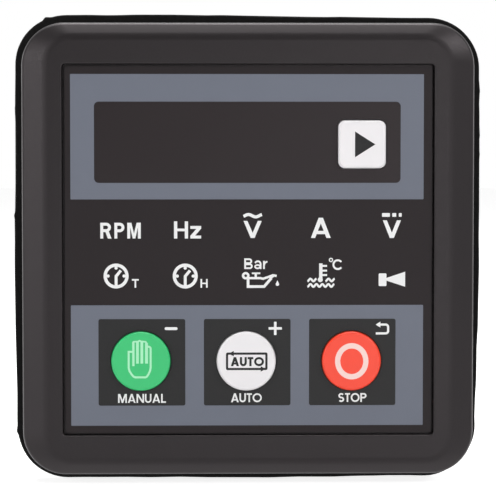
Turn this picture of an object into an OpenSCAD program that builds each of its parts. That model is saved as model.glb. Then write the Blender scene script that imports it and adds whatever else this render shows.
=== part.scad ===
// Panel-mounted generator set controller: a square moulded bezel with a recessed
// printed face, three round keys, one square key and a four-digit display.
// The face looks along -Y and +Z is up. The origin is the middle of the panel seat,
// so everything behind the panel has a positive Y.

/* [Bezel] */
// Width and height of the square bezel
bezel_w = 78; // [76:0.5:84]
// Corner radius of the bezel outline
bezel_r = 7.4; // [5:0.1:9]
// Height of the bezel in front of the gasket
bezel_h = 8.5; // [8:0.1:12]
// Width of the sloping band along the left and right edges
side_slope = 4.1; // [2:0.1:4.5]
// Width of the sloping band along the top and bottom edges
top_slope = 2.4; // [1.5:0.1:4.5]
// Corner radius of the flat front between the sloping bands
flat_r = 4.6; // [3:0.1:7]
// Fall of the sloping bands towards the outer edge
slope_fall = 1.3; // [0.6:0.1:2.5]
// Wall thickness of the bezel moulding
bezel_wall = 2; // [1.6:0.1:2.4]
// Length of the neck that plugs into the housing
neck_l = 8.5; // [7:0.1:10]

/* [Face overlay] */
// Width and height of the printed film
overlay_w = 63.1; // [60:0.1:64]
// Corner radius of the film
overlay_r = 0.5; // [0.2:0.1:2]
// Thickness of the film
overlay_t = 0.35; // [0.2:0.05:0.5]
// Gap between the film and the wall of its recess
overlay_gap = 0.4; // [0.2:0.05:0.8]
// Distance of the film and its recess below the middle of the bezel
overlay_drop = 0.1; // [0:0.05:0.4]
// Depth of the recess that the film lies in
recess_depth = 0.8; // [0.6:0.1:1.4]
// Depth of the relief groove round the film, below the floor of the recess
groove_depth = 0.9; // [0.3:0.1:1.5]

/* [Keys] */
// Diameter of the three round keys
round_key_d = 10.2; // [8:0.1:11]
// Distance between neighbouring round keys
key_pitch = 18.15; // [15:0.05:19]
// Distance of the middle round key to the left of the middle of the face
key_row_left = 0.4; // [0:0.05:0.5]
// Distance of the round keys below the middle of the face
key_row_drop = 19.2; // [18:0.1:20.5]
// Width and height of the square scroll key
scroll_key_w = 8.2; // [7:0.1:9]
// Corner radius of the scroll key
scroll_key_r = 1.15; // [0.5:0.05:2]
// Distance of the scroll key to the right of the middle of the face
scroll_key_x = 19.5; // [18.5:0.1:20.5]
// Distance of the scroll key above the middle of the face
scroll_key_z = 18.1; // [17:0.1:19]
// How far the keys stand out of the film
key_proud = 0.9; // [0.6:0.1:1.5]
// Chamfer round the top of the keys
key_chamfer = 0.25; // [0.2:0.05:0.7]
// Gap round each key in the film and the front wall
key_gap = 0.15; // [0.1:0.05:0.3]
// Width of the lip that keeps a key behind the front wall
key_lip = 0.9; // [0.6:0.1:1.2]
// Thickness of that lip
key_lip_t = 0.9; // [0.6:0.1:1.4]
// Travel of a pressed key
key_travel = 0.4; // [0.2:0.05:0.5]

/* [Display and indicators] */
// Width of the four-digit display
digits_w = 30.1; // [26:0.1:32]
// Height of the display
digits_h = 14; // [12:0.1:15]
// Distance of the display to the left of the middle of the face
digits_left = 6.1; // [5:0.1:8]
// Distance of the display above the middle of the face
digits_z = 18.4; // [17:0.1:19]
// Distance between the indicator lamps of a row
lamp_pitch_x = 11.65; // [10:0.05:12]
// Distance between the two rows of lamps
lamp_pitch_z = 8.4; // [7.5:0.1:9.5]
// Diameter of an indicator lamp
lamp_d = 3; // [2:0.1:3.6]
// Width of the light well in front of each lamp
well_w = 7.6; // [5:0.1:8.4]
// Height of the light well in front of each lamp
well_h = 5; // [4.4:0.1:6]

/* [Housing] */
// Width and height of the housing that passes through the panel
housing_w = 66; // [65:0.2:67]
// Depth of the housing behind the panel seat
housing_d = 33; // [31:0.5:40]
// Wall thickness of the housing
housing_wall = 2; // [1.6:0.1:2.4]
// Corner radius of the housing
housing_r = 2.5; // [1.5:0.1:4]
// Chamfer round the rear edge of the housing
housing_chamfer = 0.8; // [0.4:0.1:1.4]
// Width of a vent slot
vent_w = 1.8; // [1.2:0.1:2.4]
// Length of a vent slot
vent_l = 14; // [8:0.5:16]
// Distance between vent slots
vent_pitch = 4.4; // [3.6:0.1:5]

/* [Gasket] */
// How far the sealing gasket shows beyond the bezel
gasket_proud = 1.6; // [0.5:0.1:3]
// Least width of the sealing band round the panel cut-out
gasket_band = 6; // [4:0.1:6.5]
// Thickness of the gasket
gasket_t = 1.5; // [1:0.1:2.5]
// Gap between the gasket and the housing
gasket_gap = 0.7; // [0.5:0.1:1]

/* [Boards] */
// Thickness of the circuit boards
board_t = 1.6; // [1:0.1:2]
// Body height of a tactile switch
switch_h = 3.5; // [3:0.1:4.5]
// Width of a tactile switch
switch_w = 6; // [5:0.1:6.4]
// Diameter of a switch plunger
plunger_d = 3.5; // [2.5:0.1:4]
// How far a plunger stands out of its switch
plunger_h = 0.8; // [0.7:0.05:1.2]

/* [Terminals] */
// Distance between terminals
terminal_pitch = 5.08; // [5:0.02:5.2]
// Terminals of the upper block
upper_ways = 8; // [4:1:10]
// Terminals of the lower block
lower_ways = 10; // [4:1:10]
// Distance of each terminal block from the middle of the housing
terminal_row_z = 16; // [14.5:0.1:17]
// Depth of the sockets on the main board
socket_d = 12; // [11:0.1:13]
// Outer height of the sockets
socket_h = 10.4; // [10:0.1:11]
// Wall thickness of the sockets
socket_wall = 1; // [0.8:0.05:1.2]
// Depth of the plug block behind the housing
plug_d = 9.4; // [8.5:0.1:12]
// Height of the plug block behind the housing
plug_h = 11.6; // [11:0.1:13]

/* [Mounting clips] */
// Width of a clip along the side of the housing
clip_w = 14; // [12:0.5:20]
// Sheet thickness of the clips
clip_t = 1.2; // [1:0.1:1.5]
// Diameter of a clamp screw
clamp_d = 3; // [2.5:0.5:4]
// Length of a clamp screw under its head
clamp_l = 25; // [22:1:30]
// Gap for the panel between the gasket and a clamp screw
panel_gap = 4.6; // [4.2:0.1:5]

/* [Hidden] */
$fn = 48;
bezel_fn = 96;
hull_fn = 32;

// Small overlap that keeps joined and cut faces from coinciding
eps = 0.01;
// Clearance of pieces that are pushed together by hand
joint_gap = 0.1;
// Clearance of pins and screws in their holes
pin_gap = 0.05;

// Planes of the front stack, from the face to the display board
flange_y = -gasket_t;
face_y = flange_y - bezel_h;
recess_y = face_y + recess_depth;
film_y = recess_y - overlay_t;
wall_y = recess_y + bezel_wall;
key_front_y = film_y - key_proud;
key_lip_y = wall_y + joint_gap;
plunger_y = key_lip_y + key_lip_t;
switch_y = plunger_y + plunger_h;
board_y = switch_y + switch_h;
board_back_y = board_y + board_t;

// Planes of the rear stack, from the main board to the plugs
rear_y = housing_d;
main_back_y = rear_y - socket_d;
main_y = main_back_y - board_t;
rear_wall_y = rear_y - housing_wall;
plug_y = rear_y + 2 * joint_gap;

// Outlines
overlay_place = [0, -overlay_drop];
recess_w = overlay_w + 2 * overlay_gap;
recess_r = overlay_r + overlay_gap / 4;
housing_in = housing_w - 2 * housing_wall;
neck_w = housing_in - 2 * joint_gap;
neck_in = neck_w - 2 * bezel_wall;
neck_r = max(housing_r - housing_wall, 0.4);
neck_end_y = flange_y + neck_l;
board_gap = 0.4;
display_board_w = neck_in - 2 * board_gap;
main_board_w = housing_in - 2 * board_gap;
board_r = 1.5;

// Keys: outline centres and the shared depth
round_key_x = [for (i = [-1 : 1]) i * key_pitch - key_row_left];
round_key_z = -key_row_drop;
key_places = [
    [round_key_x[0], round_key_z],
    [round_key_x[1], round_key_z],
    [round_key_x[2], round_key_z],
    [scroll_key_x, scroll_key_z]
];
plunger_sunk = 1;

// Indicator lamps: five columns and two rows under the printed symbols
lamp_columns = 5;
lamp_rows = 2;
lamp_mid_x = 1.1;
lamp_mid_z = -0.8;
lamp_places = [
    for (c = [0 : lamp_columns - 1], r = [0 : lamp_rows - 1]) [
        lamp_mid_x + (c - (lamp_columns - 1) / 2) * lamp_pitch_x,
        lamp_mid_z + (r - (lamp_rows - 1) / 2) * lamp_pitch_z
    ]
];
lamp_rim = 0.4;
lamp_rim_t = 1;
lamp_gap = 0.2;

// Display: segment pockets in its face
digit_count = 4;
digit_pitch = digits_w / digit_count;
digit_w = 3.9;
digit_h = 8.7;
segment_t = 0.9;
segment_depth = 0.3;

// Board fixing
boss_d = 4.8;
boss_inset = 2.8;
screw_d = 2;
screw_head_d = 4;
screw_head_t = 1.5;
screw_cross_w = 2.2;
screw_cross_t = 0.5;
screw_cross_depth = 0.7;
boss_reach = neck_in / 2 - boss_inset;
// One boss in the upper left corner, one between the display and the scroll key,
// and two between the round keys
boss_places = [
    [-boss_reach, boss_reach],
    [(digits_w / 2 - digits_left + scroll_key_x - scroll_key_w / 2 - key_lip) / 2, boss_reach],
    [(round_key_x[0] + round_key_x[1]) / 2, -boss_reach],
    [(round_key_x[1] + round_key_x[2]) / 2, -boss_reach]
];
post_d = 5.6;
post_inset = 4;
post_reach = housing_in / 2 - post_inset;
board_screw_l = 4;

// Latches that hold the neck in the housing
latch_x = 14;
latch_w = 8;
latch_h = 1.3;
latch_l = 3;
latch_set = 3.2;
latch_y = flange_y + latch_set;
latch_gap = 0.25;

// Board-to-board connector
link_x = 16.5;
link_pitch = 2.54;
link_rows = 8;
link_columns = 2;
link_w = link_columns * link_pitch;
link_h = link_rows * link_pitch;
link_pin = 0.64;
link_base_t = 2.5;
link_socket_t = 8.5;
link_dip = 6;

// Terminal details
socket_end = 1.3;
socket_base_t = 3;
terminal_pin = 1;
terminal_pin_end = 1.5;
terminal_tail = 1.4;
plug_clear = 0.3;
plug_chamfer = 1.2;
rib_w = 1;
rib_h = 0.9;
rib_l = 6;
way_groove = 0.4;
contact_slot = 1.6;
contact_slot_l = 7.6;
wire_w = 3.6;
wire_h = 4;
wire_l = 7;
wire_drop = 1.7;
cage_wall = 0.4;
cage_l = 5;
cage_set = 0.6;
cage_y = plug_y + plug_d - wire_l + cage_set;
well_d = 3.9;
well_depth = 3.2;
wire_screw_d = 2.5;
wire_screw_head_t = 1.4;
wire_screw_slot = 0.6;

// Clip details
clip_gap = 0.1;
bend_r = 0.8;
hook_w = 4;
hook_z = clip_w / 2 - hook_w / 2;
hook_y = 11;
hook_toe = 1.8;
hook_slot_gap = 0.2;
tab_y = 22.5;
tab_edge = 1.1;
tab_r = 2.5;
// Axis of a clamp screw: just clear of the bend of its clip
clamp_x = housing_w / 2 + clip_gap + clip_t + bend_r + clamp_d / 2 + 2 * pin_gap;
clamp_head_d = 1.75 * clamp_d;
clamp_head_t = 0.65 * clamp_d;
clamp_slot = 0.8;

// Extrudes a drawing of the face (x to the right, y up) from one Y plane to another
module slab(y0, y1) {
    translate([0, y1, 0])
        rotate([90, 0, 0])
            linear_extrude(height = y1 - y0) children();
}

// Rectangle with rounded corners, centred
module rounded_rect(w, h, r) {
    square([w - 2 * r, h], center = true);
    square([w, h - 2 * r], center = true);
    for (sx = [-1, 1], sz = [-1, 1])
        translate([sx * (w / 2 - r), sz * (h / 2 - r)]) circle(r = r);
}

// The same point of all four corners
module at_corners(reach) {
    for (sx = [-1, 1], sz = [-1, 1]) translate([sx * reach, sz * reach]) children();
}

// Every fixing boss behind the front wall
module at_bosses() {
    for (place = boss_places) translate(place) children();
}

// Outlines of the four keys, grown on all sides
module key_outlines(grow) {
    for (x = round_key_x) translate([x, round_key_z]) circle(d = round_key_d + 2 * grow);
    translate([scroll_key_x, scroll_key_z]) scroll_outline(grow);
}

module scroll_outline(grow) {
    rounded_rect(scroll_key_w + 2 * grow, scroll_key_w + 2 * grow, scroll_key_r + max(grow, 0));
}

// Outer form of the bezel: straight sides, then bands that slope up to the flat front
module bezel_block() {
    hull() {
        slab(face_y + slope_fall, flange_y)
            rounded_rect(bezel_w, bezel_w, bezel_r, $fn = bezel_fn);
        slab(face_y, face_y + eps)
            rounded_rect(
                bezel_w - 2 * side_slope, bezel_w - 2 * top_slope,
                flat_r, $fn = bezel_fn
            );
    }
}

// Catches on the neck, above and below, with their ramps towards the rear
module latches(grow) {
    for (side = [0, 180], x = [-latch_x, latch_x])
        rotate([0, side, 0])
            translate([x + latch_w / 2 + grow, latch_y, neck_w / 2])
                rotate([0, -90, 0])
                    linear_extrude(height = latch_w + 2 * grow)
                        polygon([[-eps, 0], [latch_h, 0], [latch_h, latch_l / 3], [-eps, latch_l]]);
}

module front_bezel() {
    // Channel that cores out the rim behind the sloping bands
    channel_out = bezel_w - 2 * bezel_wall;
    channel_in = housing_w + 2 * bezel_wall;
    color("#3b3839")
    difference() {
        union() {
            difference() {
                bezel_block();
                slab(face_y - eps, recess_y)
                    translate(overlay_place) rounded_rect(recess_w, recess_w, recess_r);
                slab(recess_y - eps, recess_y + groove_depth) translate(overlay_place) difference() {
                    rounded_rect(recess_w, recess_w, recess_r);
                    rounded_rect(overlay_w, overlay_w, overlay_r);
                }
                slab(wall_y, flange_y + eps) rounded_rect(neck_in, neck_in, neck_r);
                slab(wall_y, flange_y + eps) difference() {
                    rounded_rect(channel_out, channel_out, bezel_r - bezel_wall);
                    rounded_rect(channel_in, channel_in, housing_r);
                }
            }
            slab(flange_y - eps, neck_end_y) difference() {
                rounded_rect(neck_w, neck_w, neck_r);
                rounded_rect(neck_in, neck_in, neck_r);
            }
            slab(wall_y - eps, board_y) at_bosses() circle(d = boss_d);
            latches(0);
        }
        slab(recess_y - eps, wall_y + eps) {
            key_outlines(key_gap);
            translate([-digits_left, digits_z])
                square([digits_w + 2 * plug_clear, digits_h + 2 * plug_clear], center = true);
            for (place = lamp_places) translate(place) square([well_w, well_h], center = true);
        }
        slab(board_y - board_screw_l, board_y + eps)
            at_bosses() circle(d = screw_d + 2 * pin_gap);
    }
}

module face_overlay() {
    color("#343233")
    slab(film_y, recess_y) difference() {
        translate(overlay_place) rounded_rect(overlay_w, overlay_w, overlay_r);
        key_outlines(key_gap);
    }
}

module panel_gasket() {
    hole_w = housing_w + 2 * gasket_gap;
    sheet_w = max(bezel_w + 2 * gasket_proud, hole_w + 2 * gasket_band);
    color("#1c1a1b")
    slab(flange_y, 0) difference() {
        rounded_rect(sheet_w, sheet_w, bezel_r + gasket_proud);
        rounded_rect(hole_w, hole_w, housing_r);
    }
}

// One round key: a chamfered cap on a lip that stays behind the front wall
module round_key(x) {
    r = round_key_d / 2;
    translate([x, 0, round_key_z])
        rotate([-90, 0, 0])
            rotate_extrude()
                polygon([
                    [0, key_front_y], [r - key_chamfer, key_front_y], [r, key_front_y + key_chamfer],
                    [r, key_lip_y], [r + key_lip, key_lip_y], [r + key_lip, plunger_y], [0, plunger_y]
                ]);
}

module manual_key() { color("#48c57c") round_key(round_key_x[0]); }

module auto_key() { color("#eaeaec") round_key(round_key_x[1]); }

module stop_key() { color("#f4533c") round_key(round_key_x[2]); }

module scroll_key() {
    color("#eae8e8")
    translate([scroll_key_x, 0, scroll_key_z]) {
        hull() {
            slab(key_front_y, key_front_y + eps) scroll_outline(-key_chamfer, $fn = hull_fn);
            slab(key_front_y + key_chamfer, key_lip_y) scroll_outline(0, $fn = hull_fn);
        }
        slab(key_lip_y - eps, plunger_y) scroll_outline(key_lip);
    }
}

// One switch plunger, under the key at a place of the list
module plunger(i) {
    color("#2b2b2b")
    translate([key_places[i][0], 0, key_places[i][1]])
        slab(plunger_y, switch_y + plunger_sunk) circle(d = plunger_d);
}

module manual_plunger() { plunger(0); }

module auto_plunger() { plunger(1); }

module stop_plunger() { plunger(2); }

module scroll_plunger() { plunger(3); }

module key_switches() {
    pocket = plunger_sunk + key_travel + joint_gap;
    color("#4a4a4a")
    for (place = key_places)
        translate([place[0], 0, place[1]])
            difference() {
                slab(switch_y, board_y) square(switch_w, center = true);
                slab(switch_y - eps, switch_y + pocket) circle(d = plunger_d + 2 * pin_gap);
            }
}

module display_board() {
    color("#1f5c37")
    slab(board_y, board_back_y) difference() {
        rounded_rect(display_board_w, display_board_w, board_r);
        at_bosses() circle(d = screw_d + 4 * pin_gap);
        link_grid() square(link_pin + 2 * pin_gap, center = true);
    }
}

// One segment bar of a digit, lying along x
module segment(l) {
    polygon([
        [-l / 2, 0], [-l / 2 + segment_t / 2, segment_t / 2], [l / 2 - segment_t / 2, segment_t / 2],
        [l / 2, 0], [l / 2 - segment_t / 2, -segment_t / 2], [-l / 2 + segment_t / 2, -segment_t / 2]
    ]);
}

module digit_segments() {
    bar = 0.92;
    for (row = [-1, 0, 1]) translate([0, row * digit_h / 2]) segment(digit_w * bar);
    for (sx = [-1, 1], sz = [-1, 1])
        translate([sx * digit_w / 2, sz * digit_h / 4]) rotate(90) segment(digit_h / 2 * bar);
}

module digit_display() {
    front_y = recess_y + joint_gap;
    color("#262626")
    translate([-digits_left, 0, digits_z])
        difference() {
            slab(front_y, board_y) square([digits_w, digits_h], center = true);
            slab(front_y - eps, front_y + segment_depth)
                for (i = [0 : digit_count - 1])
                    translate([(i - (digit_count - 1) / 2) * digit_pitch, 0]) digit_segments();
        }
}

module indicator_lamps() {
    r = lamp_d / 2;
    tip_y = wall_y + lamp_gap;
    color("#d8d2c8")
    for (place = lamp_places)
        translate([place[0], 0, place[1]])
            rotate([-90, 0, 0])
                rotate_extrude()
                    intersection() {
                        union() {
                            translate([0, tip_y + r]) circle(r = r);
                            translate([0, tip_y + r]) square([r, board_y - tip_y - r]);
                            translate([0, board_y - lamp_rim_t]) square([r + lamp_rim, lamp_rim_t]);
                        }
                        translate([0, tip_y - 1]) square([lamp_d, board_y - tip_y + 1]);
                    }
}

// A board screw with its head on a Y plane, pointing along the given way
module board_screw(y, way) {
    translate([0, y, 0]) rotate([way > 0 ? -90 : 90, 0, 0]) {
        difference() {
            translate([0, 0, -screw_head_t]) cylinder(d = screw_head_d, h = screw_head_t);
            translate([0, 0, -screw_head_t])
                for (a = [0, 90])
                    rotate(a)
                        cube([screw_cross_w, screw_cross_t, 2 * screw_cross_depth], center = true);
        }
        cylinder(d = screw_d, h = board_t + board_screw_l - 2 * joint_gap);
    }
}

module display_board_screws() {
    color("#b9bcc0")
    for (place = boss_places)
        translate([place[0], 0, place[1]]) board_screw(board_back_y, -1);
}

// Every pin place of the board-to-board connector
module link_grid() {
    for (c = [0 : link_columns - 1], r = [0 : link_rows - 1])
        translate([
            link_x + (c - (link_columns - 1) / 2) * link_pitch,
            (r - (link_rows - 1) / 2) * link_pitch
        ]) children();
}

module link_header() {
    color("#222222")
    slab(board_back_y, board_back_y + link_base_t) difference() {
        translate([link_x, 0]) square([link_w, link_h], center = true);
        link_grid() square(link_pin + 2 * pin_gap, center = true);
    }
}

module link_pins() {
    color("#c9a94e")
    slab(board_y, main_y - link_socket_t + link_dip) link_grid() square(link_pin, center = true);
}

module link_socket() {
    color("#222222")
    difference() {
        slab(main_y - link_socket_t, main_y)
            translate([link_x, 0]) square([link_w, link_h], center = true);
        slab(main_y - link_socket_t - eps, main_y - link_socket_t + link_dip + joint_gap)
            link_grid() square(link_pin + 2 * pin_gap, center = true);
    }
}

// Every terminal place of a block with so many ways
module at_ways(ways) {
    for (i = [0 : ways - 1]) translate([(i - (ways - 1) / 2) * terminal_pitch, 0]) children();
}

module main_board() {
    hole_d = terminal_pin * 1.5;
    color("#1f5c37")
    slab(main_y, main_back_y) difference() {
        rounded_rect(main_board_w, main_board_w, board_r);
        at_corners(post_reach) circle(d = screw_d + 4 * pin_gap);
        translate([0, terminal_row_z]) at_ways(upper_ways) circle(d = hole_d);
        translate([0, -terminal_row_z]) at_ways(lower_ways) circle(d = hole_d);
    }
}

module main_board_screws() {
    color("#b9bcc0")
    for (sx = [-1, 1], sz = [-1, 1])
        translate([sx * post_reach, 0, sz * post_reach]) board_screw(main_y, 1);
}

// Parts on the front of the main board: width, height and depth, then their places.
// The transformers stand along its upper edge, the choke and the chip along its lower one.
board_margin = 2;
relay_size = [7.6, 20.5, 15.3];
relay_x = [-21, -12.6, -4.2];
capacitor_d = 10;
capacitor_l = 14;
capacitor_places = [[6.4, 5.6], [6.4, -5.6]];
transformer_size = [12, 8.4, 10];
transformer_x = [-15, 0, 15];
transformer_z = main_board_w / 2 - board_margin - transformer_size[1] / 2;
choke_d = 8;
choke_place = [-8, board_margin + choke_d / 2 - main_board_w / 2];
choke_l = 7;
chip_w = 8;
chip_t = 1.4;
chip_place = [8, board_margin + chip_w / 2 - main_board_w / 2];

module output_relays() {
    color("#23262b")
    slab(main_y - relay_size[2], main_y)
        for (x = relay_x) translate([x, 0]) square([relay_size[0], relay_size[1]], center = true);
}

module filter_capacitors() {
    r = capacitor_d / 2;
    edge = 0.6;
    crimp = 0.5;
    top_y = main_y - capacitor_l;
    crimp_y = main_y - 4 * edge;
    color("#2d3b63")
    for (place = capacitor_places)
        translate([place[0], 0, place[1]])
            rotate([-90, 0, 0])
                rotate_extrude()
                    polygon([
                        [0, top_y], [r - edge, top_y], [r, top_y + edge],
                        [r, crimp_y - edge], [r - crimp, crimp_y], [r, crimp_y + edge],
                        [r, main_y], [0, main_y]
                    ]);
}

module power_choke() {
    waist = 1.6;
    flange_t = 1.5;
    color("#4b4038")
    translate([choke_place[0], 0, choke_place[1]])
        rotate([-90, 0, 0])
            rotate_extrude()
                polygon([
                    [0, main_y - choke_l], [choke_d / 2, main_y - choke_l],
                    [choke_d / 2, main_y - choke_l + flange_t],
                    [choke_d / 2 - waist, main_y - choke_l + flange_t],
                    [choke_d / 2 - waist, main_y - flange_t], [choke_d / 2, main_y - flange_t],
                    [choke_d / 2, main_y], [0, main_y]
                ]);
}

module current_transformers() {
    color("#2a4f86")
    slab(main_y - transformer_size[2], main_y)
        for (x = transformer_x)
            translate([x, transformer_z]) square([transformer_size[0], transformer_size[1]], center = true);
}

module microcontroller() {
    color("#1b1b1d")
    slab(main_y - chip_t, main_y)
        translate(chip_place) square(chip_w, center = true);
}

// Puts a terminal block in the upper or the lower row, with its screws facing outwards
module in_row(side) {
    rotate([0, side > 0 ? 0 : 180, 0]) translate([0, 0, terminal_row_z]) children();
}

module socket(ways) {
    w = ways * terminal_pitch + 2 * socket_end;
    notch_w = rib_w + 2 * plug_clear;
    color("#1f8a4c")
    difference() {
        slab(main_back_y, rear_y) square([w, socket_h], center = true);
        slab(main_back_y + socket_base_t, rear_y + eps)
            square([w - 2 * socket_wall, socket_h - 2 * socket_wall], center = true);
        slab(main_back_y - eps, rear_y) at_ways(ways) square(terminal_pin + 2 * pin_gap, center = true);
        slab(rear_y - rib_l - plug_clear, rear_y + eps)
            at_ways(ways) translate([-notch_w / 2, 0]) square([notch_w, socket_h]);
    }
}

module socket_pins(ways) {
    color("#d8c37a")
    slab(main_y - terminal_tail, rear_y - terminal_pin_end)
        at_ways(ways) square(terminal_pin, center = true);
}

// Pluggable wire terminal: a nose in the socket and a block with wire entries behind it
module plug(ways) {
    nose_w = ways * terminal_pitch + 2 * socket_end - 2 * socket_wall - 2 * plug_clear;
    nose_h = socket_h - 2 * socket_wall - 2 * plug_clear;
    nose_y = main_back_y + socket_base_t + plug_clear;
    end_y = plug_y + plug_d;
    half_h = plug_h / 2;
    color("#23a25a")
    difference() {
        union() {
            slab(nose_y, plug_y + eps) square([nose_w, nose_h], center = true);
            slab(rear_y - rib_l, plug_y + eps)
                at_ways(ways) translate([-rib_w / 2, 0]) square([rib_w, nose_h / 2 + rib_h]);
            rotate([90, 0, 90])
                linear_extrude(height = ways * terminal_pitch, center = true)
                    polygon([
                        [plug_y, -half_h], [end_y - plug_chamfer, -half_h], [end_y, plug_chamfer - half_h],
                        [end_y, half_h - plug_chamfer / 2], [end_y - plug_chamfer / 2, half_h],
                        [plug_y, half_h]
                    ]);
        }
        // Grooves that mark the ways on the side of the screws
        slab(plug_y - eps, end_y + eps)
            at_ways(ways - 1) translate([0, half_h]) rotate(45) square(way_groove, center = true);
        slab(nose_y - eps, nose_y + contact_slot_l) at_ways(ways) square(contact_slot, center = true);
        slab(end_y - wire_l, end_y + eps)
            at_ways(ways) translate([0, -wire_drop]) square([wire_w, wire_h], center = true);
        for (i = [0 : ways - 1])
            translate([(i - (ways - 1) / 2) * terminal_pitch, cage_y + cage_l / 2, plug_h / 2]) {
                translate([0, 0, -well_depth]) cylinder(d = well_d, h = well_depth + eps);
                translate([0, 0, -plug_h / 2 - wire_drop])
                    cylinder(d = wire_screw_d + 4 * pin_gap, h = plug_h / 2);
            }
    }
}

// Rising metal cages that grip the wires
module cages(ways) {
    cage_w = wire_w - 2 * joint_gap;
    cage_h = wire_h - 2 * joint_gap;
    color("#c8c9c4")
    difference() {
        slab(cage_y, cage_y + cage_l)
            at_ways(ways) translate([0, -wire_drop]) difference() {
                square([cage_w, cage_h], center = true);
                square([cage_w - 2 * cage_wall, cage_h - 2 * cage_wall], center = true);
            }
        for (i = [0 : ways - 1])
            translate([(i - (ways - 1) / 2) * terminal_pitch, cage_y + cage_l / 2, -wire_drop])
                cylinder(d = wire_screw_d + 2 * pin_gap, h = plug_h / 2);
    }
}

module wire_screws(ways) {
    head_z = plug_h / 2 - well_depth;
    tip_z = -wire_drop + wire_h / 2 - joint_gap - 2 * cage_wall;
    color("#b9bcc0")
    for (i = [0 : ways - 1])
        translate([(i - (ways - 1) / 2) * terminal_pitch, cage_y + cage_l / 2, 0])
            difference() {
                union() {
                    translate([0, 0, head_z]) cylinder(d = well_d - 4 * joint_gap, h = wire_screw_head_t);
                    translate([0, 0, tip_z]) cylinder(d = wire_screw_d, h = head_z - tip_z + eps);
                }
                translate([0, 0, head_z + wire_screw_head_t])
                    cube([well_d, wire_screw_slot, wire_screw_head_t], center = true);
            }
}

module upper_socket() { in_row(1) socket(upper_ways); }

module upper_pins() { in_row(1) socket_pins(upper_ways); }

module upper_plug() { in_row(1) plug(upper_ways); }

module upper_cages() { in_row(1) cages(upper_ways); }

module upper_wire_screws() { in_row(1) wire_screws(upper_ways); }

module lower_socket() { in_row(-1) socket(lower_ways); }

module lower_pins() { in_row(-1) socket_pins(lower_ways); }

module lower_plug() { in_row(-1) plug(lower_ways); }

module lower_cages() { in_row(-1) cages(lower_ways); }

module lower_wire_screws() { in_row(-1) wire_screws(lower_ways); }

module rear_housing() {
    inner_r = neck_r + joint_gap;
    vent_count = floor((housing_in - 2 * post_inset - post_d - vent_pitch) / vent_pitch);
    vent_y = (latch_y + latch_l + rear_wall_y) / 2;
    slot_y = hook_y + clip_t + hook_slot_gap;
    slot_l = clip_t + hook_toe + 2 * hook_slot_gap;
    color("#2e2d2e")
    difference() {
        union() {
            difference() {
                hull() {
                    slab(flange_y, rear_y - housing_chamfer)
                        rounded_rect(housing_w, housing_w, housing_r, $fn = hull_fn);
                    slab(rear_y - eps, rear_y)
                        rounded_rect(
                            housing_w - 2 * housing_chamfer, housing_w - 2 * housing_chamfer,
                            housing_r - housing_chamfer / 2, $fn = hull_fn
                        );
                }
                slab(flange_y - eps, rear_wall_y) rounded_rect(housing_in, housing_in, inner_r);
            }
            slab(main_back_y, rear_wall_y + eps) at_corners(post_reach) circle(d = post_d);
        }
        // Screw holes in the posts
        slab(main_back_y - eps, main_back_y + board_screw_l)
            at_corners(post_reach) circle(d = screw_d + 2 * pin_gap);
        // Openings for the terminal sockets
        for (row = [[upper_ways, 1], [lower_ways, -1]])
            slab(rear_wall_y - eps, rear_y + eps)
                translate([0, row[1] * terminal_row_z])
                    square([
                        row[0] * terminal_pitch + 2 * socket_end + 2 * plug_clear,
                        socket_h + 2 * plug_clear
                    ], center = true);
        // Windows for the latches and vent slots, above and below
        for (side = [-1, 1], x = [-latch_x, latch_x])
            translate([x, latch_y - latch_gap, side * housing_w / 2])
                translate([-latch_w / 2 - latch_gap, 0, -housing_wall - 1])
                    cube([latch_w + 2 * latch_gap, latch_l + 2 * latch_gap, 2 * housing_wall + 2]);
        for (side = [-1, 1], i = [0 : vent_count - 1])
            translate([(i - (vent_count - 1) / 2) * vent_pitch, vent_y, side * housing_w / 2])
                cube([vent_w, vent_l, 2 * housing_wall + 2], center = true);
        // Slots for the hooks of the clips, left and right
        for (side = [-1, 1], sz = [-1, 1])
            translate([side * housing_w / 2, slot_y - slot_l / 2, sz * hook_z])
                cube([2 * housing_wall + 2, slot_l, hook_w + 2 * hook_slot_gap], center = true);
    }
}

// Folded sheet clip on the right side: a plate along the housing, a tapped tab that
// stands out at its rear, and two hooks that reach through the wall at its front
module clip() {
    in_x = housing_w / 2 + clip_gap;
    out_x = in_x + clip_t;
    tab_x = clamp_x + clamp_d / 2 + tab_edge;
    toe_x = housing_w / 2 - housing_wall - clip_gap;
    bend_x = out_x + bend_r;
    bend_y = tab_y - bend_r;
    color("#a9adb2")
    difference() {
        union() {
            intersection() {
                translate([0, 0, -clip_w / 2]) linear_extrude(height = clip_w) {
                    translate([in_x, hook_y]) square([clip_t, bend_y - hook_y]);
                    translate([bend_x, tab_y]) square([tab_x - bend_x, clip_t]);
                    intersection() {
                        translate([bend_x, bend_y]) difference() {
                            circle(r = bend_r + clip_t);
                            circle(r = bend_r);
                        }
                        translate([in_x, bend_y]) square([bend_r + clip_t, bend_r + clip_t]);
                    }
                }
                slab(hook_y - eps, tab_y + clip_t + eps)
                    rounded_rect(2 * tab_x, clip_w, tab_r);
            }
            for (sz = [-1, 1])
                translate([0, 0, sz * hook_z - hook_w / 2]) linear_extrude(height = hook_w) {
                    translate([toe_x - clip_t, hook_y]) square([out_x - toe_x + clip_t, clip_t]);
                    translate([toe_x - clip_t, hook_y]) square([clip_t, clip_t + hook_toe]);
                }
        }
        translate([clamp_x, tab_y - eps, 0])
            rotate([-90, 0, 0]) cylinder(d = clamp_d + 2 * pin_gap, h = clip_t + 2 * eps);
    }
}

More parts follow.
